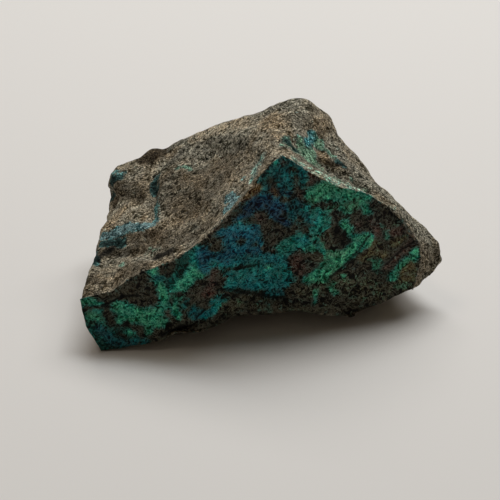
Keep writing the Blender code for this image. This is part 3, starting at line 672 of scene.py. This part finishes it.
def ledge(points, normals, path, drop, width, reach):
    """Height of a ledge: the left of the path drops over width, then rises again towards reach."""
    gap, side, share = beside_path(points, normals, path)
    ends = smooth_step(np.minimum(share, 1 - share) / LEDGE_END)
    away = np.where(side > 0, gap, 0)
    return -drop * ends * smooth_step(away / width) * (1 - smooth_step((away - width) / (reach - width)))


def swell(points, normals, path, radius, height):
    """Height of a rounded rib, or of a groove when height is negative, along a path."""
    gap, _, share = beside_path(points, normals, path)
    ends = 1.0
    if len(path) > 1:
        ends = smooth_step(np.minimum(share, 1 - share) / SWELL_END + SWELL_BLUNTNESS)
    return height * ends * (1 - np.clip(gap / radius, 0, 1) ** 2) ** 2


def rim_gap(points):
    """Distance from each point to the line through the ribs' ends, where the broken face begins."""
    edge = np.array([rib[1] for rib in RIBS], float)
    return beside_path(points, None, np.concatenate([edge, edge[:1]]))[0]


def relief(points, normals, is_break):
    """How far each point moves out along its normal, in mm."""
    crust = sum(height * noise(points, size, seed) for size, height, seed in CRUST_ROUGHNESS)
    broken = sum(height * noise(points, size, seed) for size, height, seed in BREAK_ROUGHNESS)
    gap = rim_gap(points)
    away = np.where(is_break, 0, smooth_step(gap / CALM_RIM_MM))
    total = broken + away * (crust - broken)
    grain = np.stack([gap, points[:, 0] / GRAIN_STRETCH, points[:, 2] / GRAIN_STRETCH], axis=1)
    grainy = ~is_break * (RIM_GRAIN + (1 - RIM_GRAIN) * away)
    for size, height, seed in GRAIN:
        total += grainy * height * noise(grain, size, seed)
    shifted = wandered(points, (WANDER_MM,), 21)
    strength = 1 + LEDGE_CHANGE * noise(points, LEDGE_CHANGE_MM, 24)
    for path, drop, width, reach in LEDGES:
        total += strength * ledge(shifted, normals, path, drop, width, reach)
    for path, radius, height in SWELLS:
        total += swell(shifted, normals, path, radius, height)
    return total


def stone_surface(size):
    """The stone's points, quads, normals, and how far in mm each point is inside the broken face.

    The points are in metres and fill a box of the given size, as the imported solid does.
    """
    points, quads, is_break, is_rim = block()
    spacing = np.linalg.norm(points[quads[:, 1]] - points[quads[:, 0]], axis=1).mean()
    points = soften(points, quads, is_rim, round(2 * (CREST_ROUNDING_MM / spacing) ** 2))
    inside = np.where(is_break, 1, -1) * rim_gap(points)
    normals = normals_of(points, quads)
    points = points + normals * relief(points, normals, is_break)[:, None]
    low, high = points.min(axis=0), points.max(axis=0)
    middle = (low + high) / 2 * (1, 1, 0)
    ratio = np.array(size) / (high[0] - low[0], high[1] - low[1], high[2])
    centre = ((LOW.x + HIGH.x) / 2, (LOW.y + HIGH.y) / 2, 0.0)
    points = (points - middle) * ratio + centre
    points[:, 2] = np.maximum(points[:, 2], 0.0)
    return points, quads, normals_of(points, quads), inside


def painted(values, flat, patches, where, edge):
    """Lays patches over the surface's mineral values, in order, as a brush with a soft edge does.

    flat holds the points in the patches' own plane. Within a patch the values become the mineral's, and
    across its edge, so many mm wide, they go over smoothly to what lay there before. where limits it to
    part of the stone.
    """
    for mineral, path, radius in patches:
        gap, _, _ = beside_path(flat, None, path)
        share = where * (1 - smooth_step((gap - radius) / edge + 0.5))
        values = values + share[:, None] * (np.array(MINERALS[mineral]) - values)
    return values


def minerals(points, normals, inside):
    """The four mineral values of each point: copper mineral, hue, tone and rust.

    On the crust each set of patches lies where the normal turns up, back or down, and fades out there.
    """
    shifted = wandered(points, PATCH_WANDER_MM, 31)
    is_break = inside >= 0
    back, up = normals[:, 1], normals[:, 2]
    values = np.where(is_break[:, None], MINERALS["brown ore"], MINERALS["crust"])

    def facing(part, start):
        return ~is_break * smooth_step((part - start) / FACING_FADE)

    for plane, patches, where, edge in (
        ([0, 2], FACE_PATCHES, is_break, FACE_EDGE_MM),
        ([0, 1], TOP_PATCHES, facing(up, TOP_START), CRUST_EDGE_MM),
        ([0, 2], BACK_PATCHES, facing(back, BACK_START), CRUST_EDGE_MM),
        ([0, 1], UNDER_PATCHES, facing(-up, UNDER_START), CRUST_EDGE_MM),
    ):
        values = painted(values, shifted[:, plane], patches, where, edge)
    return values


def face_lines(points, inside):
    """1 on the broken face's scratches and -1 in its cracks, where shadow is painted, going to 0 at their
    sides.
    """
    flat = wandered(points, LINE_WANDER_MM, 61)[:, [0, 2]]
    scratch, crack_shadow = (
        1 - smooth_step(np.min([beside_path(flat, None, path)[0] for path in paths], axis=0) / LINE_MM / 2)
        for paths in (SCRATCHES, CRACK_SHADOWS)
    )
    return np.where(inside >= 0, scratch - crack_shadow, 0.0)


# ---------------------------------------------------------------------------------------------------
# Materials
# ---------------------------------------------------------------------------------------------------

# The stone's noises, as (size in mm, detail, roughness, distortion). Its real grit is finer than 0.3 mm
# and is drawn that coarse so that it shows in a picture of the whole stone.
NOISES = {
    "coarse": (4.5, 2.0, 0.55, 0.0),
    "broad": (2.4, 3.0, 0.6, 0.8),
    "medium": (1.5, 4.0, 0.6, 0.5),
    "small": (0.9, 3.0, 0.6, 0.8),
    "fine": (0.3, 2.0, 0.8, 0.0),
    "thread": (1.3, 3.0, 0.5, 1.2),
    "vein": (2.4, 1.5, 0.5, 1.5),
}
# Fibres: their width and length in mm, how far they sway with the coarse noise, and their noise.
FIBRE_MM, FIBRE_SWAY_MM = (0.3, 1.3), 4.0
FIBRE_NOISE = (1.0, 2.0, 0.5, 0.9)

# Sums that the looks follow, as the weights of the surface's values and of its noises. An edge holds the
# two values of a sum between which something begins to show and shows wholly, and a middle is the value
# at which a sum leaves a colour as it is.
COPPER_COVER = {"copper": 1.0, "medium": 1.8, "small": 1.4, "fine": 0.2, "thread": -2.5}
COPPER_EDGE = (1.3, 2.7)
COPPER_HUE = {"hue": 1.0, "coarse": 0.4, "small": 0.1}
HUE_START = -0.25
ORE_RUST = {"rust": 0.3, "small": 0.4}
FACE_MOTTLE = {"fine": 0.5, "broad": 0.6, "small": 0.6, "thread": -2.0}
FACE_MIDDLE = 0.695
CRUST_RUST = {"rust": 1.0, "coarse": 2.0}
CRUST_RUST_EDGE = (0.9, 2.4)
STAIN_COVER = {"copper": 1.0, "medium": 1.2, "small": 1.8, "fibre": 0.9}
STAIN_EDGE = (2.25, 3.0)
CRUST_GRIT = {"fine": 1.7, "medium": 0.2, "fibre": 1.2, "thread": -2.6}
CRUST_MIDDLE = 1.38
RAGGED_RIM = {"inside": 1.0, "medium": 3.0, "fine": 1.0}
RIM_EDGE = (1.85, 2.1)
PALE_GRAINS = {"fine": 1.0, "fibre": 0.3, "thread": -4.0}
PALE_EDGE = (0.2, 0.8)
# How far from the middle value of their noise the veins and the threads reach, and the noise that breaks
# up the veins (coarse), the threads (medium) and the scratches (fine).
VEIN_EDGE, THREAD_EDGE = (0.016, 0.003), (0.024, 0.004)
LINE_GAPS = {"coarse": (0.42, 0.58), "medium": (0.5, 0.62), "fine": (0.36, 0.5)}
BUMPS, BUMP_MM = {"fine": 0.5, "fibre": 0.5, "medium": 1.0}, 0.8
TONE_STEP = 0.585  # powers of two that a step of tone makes it brighter
# Painted shadow in cracks and under undercut edges:
CRACK_SHADOW_DEPTH = 3.5  # powers of two that a crack makes it darker

# Copper minerals from deep blue chrysocolla to pale malachite, ore from olive to ochre, and the crust's
# stains from blue to green, each as (place on the ramp, colour).
COPPER_COLOURS = (
    (0.0, "#0C2A4C"), (0.2, "#004C68"), (0.35, "#006274"), (0.5, "#007078"), (0.62, "#067470"),
    (0.78, "#208070"), (0.92, "#388E6C"), (1.0, "#66A486"),
)
ORE_COLOURS = ((0.0, "#463C22"), (0.2, "#353224"), (0.4, "#373028"), (0.55, "#472F29"), (0.8, "#54401F"))
STAIN_COLOURS = ((0.15, "#5A7072"), (0.42, "#427C80"), (0.6, "#547E76"), (0.85, "#64886F"))
PLAIN_CRUST, RUSTY_CRUST = "#6D6A5D", "#786951"
# Grey of the pale grains, and the grey that is taken away everywhere: on the crust, on the broken face.
PALE_GREYS = ("#6A6762", "#62665F")
DARK_GREYS = ("#32302D", "#323332")
BLACK = "#000000"
FACE_ROUGHNESS = 0.6


def linear(colour):
    """An sRGB hex colour as linear red, green, blue and 1."""
    parts = [int(colour[i : i + 2], 16) / 255 for i in (1, 3, 5)]
    return [c / 12.92 if c <= 0.04045 else ((c + 0.055) / 1.055) ** 2.4 for c in parts] + [1.0]


def add(tree, kind, inputs=None, stops=None, **settings):
    """Adds a node: settings are its own, inputs are values or sockets to link, stops are a ramp's."""
    made = tree.nodes.new(kind)
    for name, value in settings.items():
        setattr(made, name, value)
    for key, value in (inputs or {}).items():
        if isinstance(value, bpy.types.NodeSocket):
            tree.links.new(value, made.inputs[key])
        else:
            made.inputs[key].default_value = value
    if stops:
        ramp = made.color_ramp
        while len(ramp.elements) < len(stops):
            ramp.elements.new(0.5)
        for element, (place, colour) in zip(ramp.elements, stops):
            element.position = place
            element.color = linear(colour)
    return made


def new_material(name):
    """A material with an empty node tree."""
    made = bpy.data.materials.new(name)
    made.use_nodes = True
    made.node_tree.nodes.clear()
    return made


def calculated(tree, operation, a, b=0.0, c=0.0):
    """What a calculation makes of fields or numbers."""
    return add(tree, "ShaderNodeMath", {0: a, 1: b, 2: c}, operation=operation).outputs[0]


def sum_of(tree, fields, weights, start=0.0):
    """Start and the named fields added up, each times its weight."""
    total = start
    for name, weight in weights.items():
        total = calculated(tree, "MULTIPLY_ADD", fields[name], weight, total)
    return total


def between(tree, field, low, high):
    """0 where a field is at low or beyond, 1 where it is at high or beyond, and smooth between."""
    inputs = {"Value": field, "From Min": low, "From Max": high}
    return add(tree, "ShaderNodeMapRange", inputs, interpolation_type="SMOOTHSTEP").outputs[0]


def mixed(tree, share, a, b, blend="MIX"):
    """Colour a with the share of colour b mixed into it or, as blend says, laid over it."""
    inputs = {"Factor": share, 6: a, 7: b}
    return add(tree, "ShaderNodeMix", inputs, data_type="RGBA", blend_type=blend).outputs[2]


def on_ramp(tree, field, stops):
    """The colours of a ramp, read at a field."""
    return add(tree, "ShaderNodeValToRGB", {"Fac": field}, stops).outputs["Color"]


def shaded(tree, colour, power):
    """The colour times two to the given power."""
    return mixed(tree, 1.0, colour, calculated(tree, "POWER", 2.0, power), "MULTIPLY")


def contrasted(tree, colour, field, middle, contrast):
    """The colour made brighter where the field is above its middle value, and darker below it."""
    above = calculated(tree, "SUBTRACT", field, middle)
    return shaded(tree, colour, calculated(tree, "MULTIPLY", above, contrast))


def speckle(tree, place, size, detail, roughness, distortion):
    """Noise from 0 to 1, with specks of about the given size."""
    inputs = {
        "Vector": place, "Scale": 1 / size, "Detail": detail, "Roughness": roughness,
        "Distortion": distortion,
    }
    return add(tree, "ShaderNodeTexNoise", inputs).outputs["Fac"]


def stone_fields(tree):
    """What the looks follow: the surface's own values, and the noises and fibres laid over it."""
    object_place = add(tree, "ShaderNodeTexCoord").outputs["Object"]
    place = add(tree, "ShaderNodeMapping", {"Vector": object_place, "Scale": (1 / MM,) * 3}).outputs[0]
    fields = {
        name: add(tree, "ShaderNodeAttribute", attribute_name=name).outputs["Fac"] for name in ATTRIBUTES
    }
    for name, settings in NOISES.items():
        fields[name] = speckle(tree, place, *settings)
    # Threads and veins run where their noise is at its middle value.
    for name in ("thread", "vein"):
        fields[name] = calculated(tree, "ABSOLUTE", calculated(tree, "SUBTRACT", fields[name], 0.5))
    # Fibres run with the rim: they change fast across it and slowly along it.
    width, length = FIBRE_MM
    axes = add(tree, "ShaderNodeSeparateXYZ", {"Vector": place}).outputs
    swaying = sum_of(tree, fields, {"coarse": FIBRE_SWAY_MM, "inside": 1.0})
    run = add(tree, "ShaderNodeCombineXYZ", {
        "X": calculated(tree, "MULTIPLY", swaying, 1 / width),
        "Y": calculated(tree, "MULTIPLY", axes["X"], 1 / length),
        "Z": calculated(tree, "MULTIPLY", axes["Z"], 1 / length),
    }).outputs[0]
    fields["fibre"] = speckle(tree, run, *FIBRE_NOISE)
    return fields


def hairlines(tree, fields):
    """1 on thin pale lines: stretches of the veins, short bits of the threads, and the scratches."""
    lines = {
        "coarse": between(tree, fields["vein"], *VEIN_EDGE),
        "medium": between(tree, fields["thread"], *THREAD_EDGE),
        "fine": fields["lines"],
    }
    total = 0.0
    for name, line in lines.items():
        shown = between(tree, fields[name], *LINE_GAPS[name])
        total = calculated(tree, "MAXIMUM", total, calculated(tree, "MULTIPLY", line, shown))
    return total


def face_colour(tree, fields, contrast):
    """The broken face: ore with patches of copper minerals, mottled."""
    hue = sum_of(tree, fields, COPPER_HUE, HUE_START)
    copper = on_ramp(tree, hue, COPPER_COLOURS)
    ore = on_ramp(tree, sum_of(tree, fields, ORE_RUST), ORE_COLOURS)
    patch = between(tree, sum_of(tree, fields, COPPER_COVER), *COPPER_EDGE)
    mottle = sum_of(tree, fields, FACE_MOTTLE)
    return contrasted(tree, mixed(tree, patch, ore, copper), mottle, FACE_MIDDLE, contrast)


def crust_colour(tree, fields, contrast):
    """The crust: grey to brown and gritty, with thin stains of copper minerals."""
    rusty = between(tree, sum_of(tree, fields, CRUST_RUST), *CRUST_RUST_EDGE)
    crust = mixed(tree, rusty, linear(PLAIN_CRUST), linear(RUSTY_CRUST))
    stain = between(tree, sum_of(tree, fields, STAIN_COVER), *STAIN_EDGE)
    crust = mixed(tree, stain, crust, on_ramp(tree, fields["hue"], STAIN_COLOURS))
    return contrasted(tree, crust, sum_of(tree, fields, CRUST_GRIT), CRUST_MIDDLE, contrast)


def grained(tree, fields, border, colour):
    """The colour with pale grains and hairlines.

    They are grey whatever is under them, so they add grey, and a little is taken away everywhere.
    """
    pale = between(tree, sum_of(tree, fields, PALE_GRAINS), *PALE_EDGE)
    pale = calculated(tree, "MAXIMUM", pale, hairlines(tree, fields))
    added, taken = (mixed(tree, border, *map(linear, greys)) for greys in (PALE_GREYS, DARK_GREYS))
    colour = mixed(tree, 1.0, colour, mixed(tree, pale, linear(BLACK), added), "ADD")
    colour = mixed(tree, 1.0, colour, taken, "SUBTRACT")
    return mixed(tree, 1.0, colour, linear(BLACK), "LIGHTEN")


def stone_material(look):
    """Weathered copper ore, broken on one side.

    The crust is matt and gritty. The broken face is dense dark ore, a little smoother, with chrysocolla
    (hydrated copper silicate, waxy, blue to teal) and malachite (copper carbonate, green) in patches that
    are full of specks of ore.
    """
    made = new_material("weathered_and_broken_copper_ore")
    tree = made.node_tree
    fields = stone_fields(tree)
    border = between(tree, sum_of(tree, fields, RAGGED_RIM), *RIM_EDGE)
    crust = crust_colour(tree, fields, look.crust_contrast)
    face = face_colour(tree, fields, look.face_contrast)
    colour = grained(tree, fields, border, mixed(tree, border, crust, face))
    # Painted shadow: the cracks and undercut edges darken the colour.
    fields["crack_shadow"] = calculated(tree, "MINIMUM", fields["lines"], 0.0)
    colour = shaded(tree, colour, sum_of(tree, fields, {"tone": TONE_STEP, "crack_shadow": CRACK_SHADOW_DEPTH}))
    roughness = {"Value": border, "To Min": look.crust_roughness, "To Max": FACE_ROUGHNESS}
    bump = {"Height": sum_of(tree, fields, BUMPS), "Distance": BUMP_MM * MM}
    inputs = {
        "Base Color": colour,
        "Roughness": add(tree, "ShaderNodeMapRange", roughness).outputs[0],
        "Normal": add(tree, "ShaderNodeBump", bump).outputs[0],
        "IOR": 1.52,
        "Specular IOR Level": 0.15,
    }
    shader = add(tree, "ShaderNodeBsdfPrincipled", inputs)
    add(tree, "ShaderNodeOutputMaterial", {"Surface": shader.outputs[0]})
    return made


def floor_material(stage):
    """Matt painted board: pale and even, with no pattern that could be taken for the stone's."""
    made = new_material("matt_white_board")
    shade = list(stage.floor_colour) + [1.0]
    inputs = {"Base Color": shade, "Roughness": 0.9, "Specular IOR Level": 0.2}
    shader = add(made.node_tree, "ShaderNodeBsdfPrincipled", inputs)
    add(made.node_tree, "ShaderNodeOutputMaterial", {"Surface": shader.outputs[0]})
    return made


# ---------------------------------------------------------------------------------------------------
# What a user can change, and what builds
# ---------------------------------------------------------------------------------------------------

FLOOR_REACH = 4.0  # metres from the middle of the floor to its sides
ROOM_COLOUR, ROOM_STRENGTH = "#FFEBD2", 0.075
# Each light: its name, where it hangs, its width and height, its power in watts and its colour.
LIGHTS = (
    ("overhead panel", (0.1, 0.26, 0.75), 0.5, 0.18, 3.15, "#FBFDFF"),
    ("window behind", (0.15, 0.50, 0.73), 1.1, 0.3, 4.1, "#FFFCF8"),
    ("panel on the left", (-0.32, 0.08, 0.78), 0.24, 0.24, 0.6, "#FFEEDC"),
)
AIM_MM = Vector((-3.0, -3.0, 11.0))  # what the camera looks at
SENSOR_MM, LENS_MM = 36.0, 106.4
CLIPPING = (0.01, 20.0)  # how near and how far the camera sees, in metres


class SpecimenSettings(bpy.types.PropertyGroup):
    """Sizes and finish of the stone."""

    length: FloatProperty(
        name="Length", description="From the toe to the nose", default=HIGH.x - LOW.x, min=0.02, max=0.3,
        unit="LENGTH",
    )
    depth: FloatProperty(
        name="Depth", description="From the broken face's foot to the back wall", default=HIGH.y - LOW.y,
        min=0.02, max=0.3, unit="LENGTH",
    )
    height: FloatProperty(
        name="Height", description="From the floor to the peak", default=HIGH.z, min=0.02, max=0.3,
        unit="LENGTH",
    )
    face_contrast: FloatProperty(
        name="Face contrast", description="How strongly the broken face is mottled", default=6.0, min=0.0,
        max=12.0,
    )
    crust_contrast: FloatProperty(
        name="Crust contrast", description="How strongly the crust's grit shows", default=4.5, min=0.0,
        max=12.0,
    )
    crust_roughness: FloatProperty(
        name="Crust roughness", description="How matt the weathered crust is", default=0.92, min=0.0,
        max=1.0, subtype="FACTOR",
    )


class StageSettings(bpy.types.PropertyGroup):
    """Floor, light and viewpoint."""

    floor_colour: FloatVectorProperty(
        name="Floor", description="Colour of the floor", default=(0.72, 0.71, 0.69), min=0.0, max=1.0,
        subtype="COLOR",
    )
    elevation: FloatProperty(
        name="Elevation", description="How far above the horizon the camera stands",
        default=math.radians(34), unit="ROTATION",
    )
    distance: FloatProperty(
        name="Distance", description="From the camera to the stone", default=0.32, min=0.1, max=3.0,
        unit="LENGTH",
    )


class OBJECT_OT_build_specimen(bpy.types.Operator):
    """Builds the stone's surface, its mineral patches and its material"""

    bl_idname = "object.build_specimen"
    bl_label = "Build specimen"

    def execute(self, context):
        look = context.scene.specimen
        points, quads, normals, inside = stone_surface((look.length, look.depth, look.height))
        mesh = bpy.data.meshes.new("stone")
        mesh.from_pydata(points.tolist(), [], quads.tolist())
        mesh.validate()
        values = minerals(points / MM, normals, inside)
        columns = (*values.T, inside, face_lines(points / MM, inside))
        for name, column in zip(ATTRIBUTES, columns):
            attribute = mesh.attributes.new(name, "FLOAT", "POINT")
            attribute.data.foreach_set("value", column.astype(np.float32))
        mesh.shade_smooth()
        mesh.materials.append(stone_material(look))
        stone = bpy.data.objects.new("stone", mesh)
        context.scene.collection.objects.link(stone)
        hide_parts("specimen")
        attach(stone, "root")
        return {"FINISHED"}


class OBJECT_OT_build_stage(bpy.types.Operator):
    """Builds the floor, the soft light and the camera"""

    bl_idname = "object.build_stage"
    bl_label = "Build stage"

    def execute(self, context):
        scene, stage = context.scene, context.scene.specimen_stage
        mesh = bpy.data.meshes.new("floor")
        corners = [(x * FLOOR_REACH, y * FLOOR_REACH, 0) for x, y in ((-1, -1), (1, -1), (1, 1), (-1, 1))]
        mesh.from_pydata(corners, [], [(0, 1, 2, 3)])
        mesh.materials.append(floor_material(stage))
        floor = bpy.data.objects.new("floor", mesh)
        scene.collection.objects.link(floor)

        world = bpy.data.worlds.new("soft white room")
        scene.world = world
        world.use_nodes = True
        world.node_tree.nodes.clear()
        glow = {"Color": linear(ROOM_COLOUR), "Strength": ROOM_STRENGTH}
        sky = add(world.node_tree, "ShaderNodeBackground", glow)
        add(world.node_tree, "ShaderNodeOutputWorld", {"Surface": sky.outputs[0]})

        for name, spot, width, tall, power, colour in LIGHTS:
            light = bpy.data.lights.new(name, "AREA")
            light.shape = "RECTANGLE"
            light.size, light.size_y, light.energy, light.color = width, tall, power, linear(colour)[:3]
            lamp = bpy.data.objects.new(name, light)
            lamp.location = spot
            lamp.rotation_euler = (-Vector(spot)).to_track_quat("-Z", "Y").to_euler()
            scene.collection.objects.link(lamp)

        ahead = Vector((0, math.cos(stage.elevation), -math.sin(stage.elevation)))
        lens = bpy.data.cameras.new("camera")
        lens.sensor_width, lens.lens = SENSOR_MM, LENS_MM
        lens.clip_start, lens.clip_end = CLIPPING
        camera = bpy.data.objects.new("camera", lens)
        camera.location = AIM_MM * MM - ahead * stage.distance
        camera.rotation_euler = ahead.to_track_quat("-Z", "Y").to_euler()
        scene.collection.objects.link(camera)
        scene.camera = camera
        scene.view_settings.view_transform = "Standard"
        return {"FINISHED"}


class VIEW3D_PT_specimen(bpy.types.Panel):
    """The stone's and the stage's settings, with a button for each operator"""

    bl_label = "Chrysocolla specimen"
    bl_space_type = "VIEW_3D"
    bl_region_type = "UI"
    bl_category = "Specimen"

    def draw(self, context):
        groups = (
            (context.scene.specimen, OBJECT_OT_build_specimen),
            (context.scene.specimen_stage, OBJECT_OT_build_stage),
        )
        for settings, operator in groups:
            box = self.layout.box()
            for name in settings.__annotations__:
                box.prop(settings, name)
            box.operator(operator.bl_idname)


CLASSES = (
    SpecimenSettings, StageSettings, OBJECT_OT_build_specimen, OBJECT_OT_build_stage, VIEW3D_PT_specimen,
)


def register():
    for each in CLASSES:
        bpy.utils.register_class(each)
    bpy.types.Scene.specimen = PointerProperty(type=SpecimenSettings)
    bpy.types.Scene.specimen_stage = PointerProperty(type=StageSettings)


def unregister():
    del bpy.types.Scene.specimen_stage
    del bpy.types.Scene.specimen
    for each in reversed(CLASSES):
        bpy.utils.unregister_class(each)


def clear_startup():
    """Removes what a new file holds, and leaves the frame."""
    for name in ("Cube", "Light", "Camera"):
        if name in bpy.data.objects:
            bpy.data.objects.remove(bpy.data.objects[name])


def main():
    clear_startup()
    register()
    bpy.ops.object.build_specimen()
    bpy.ops.object.build_stage()


if __name__ == "__main__":
    main()
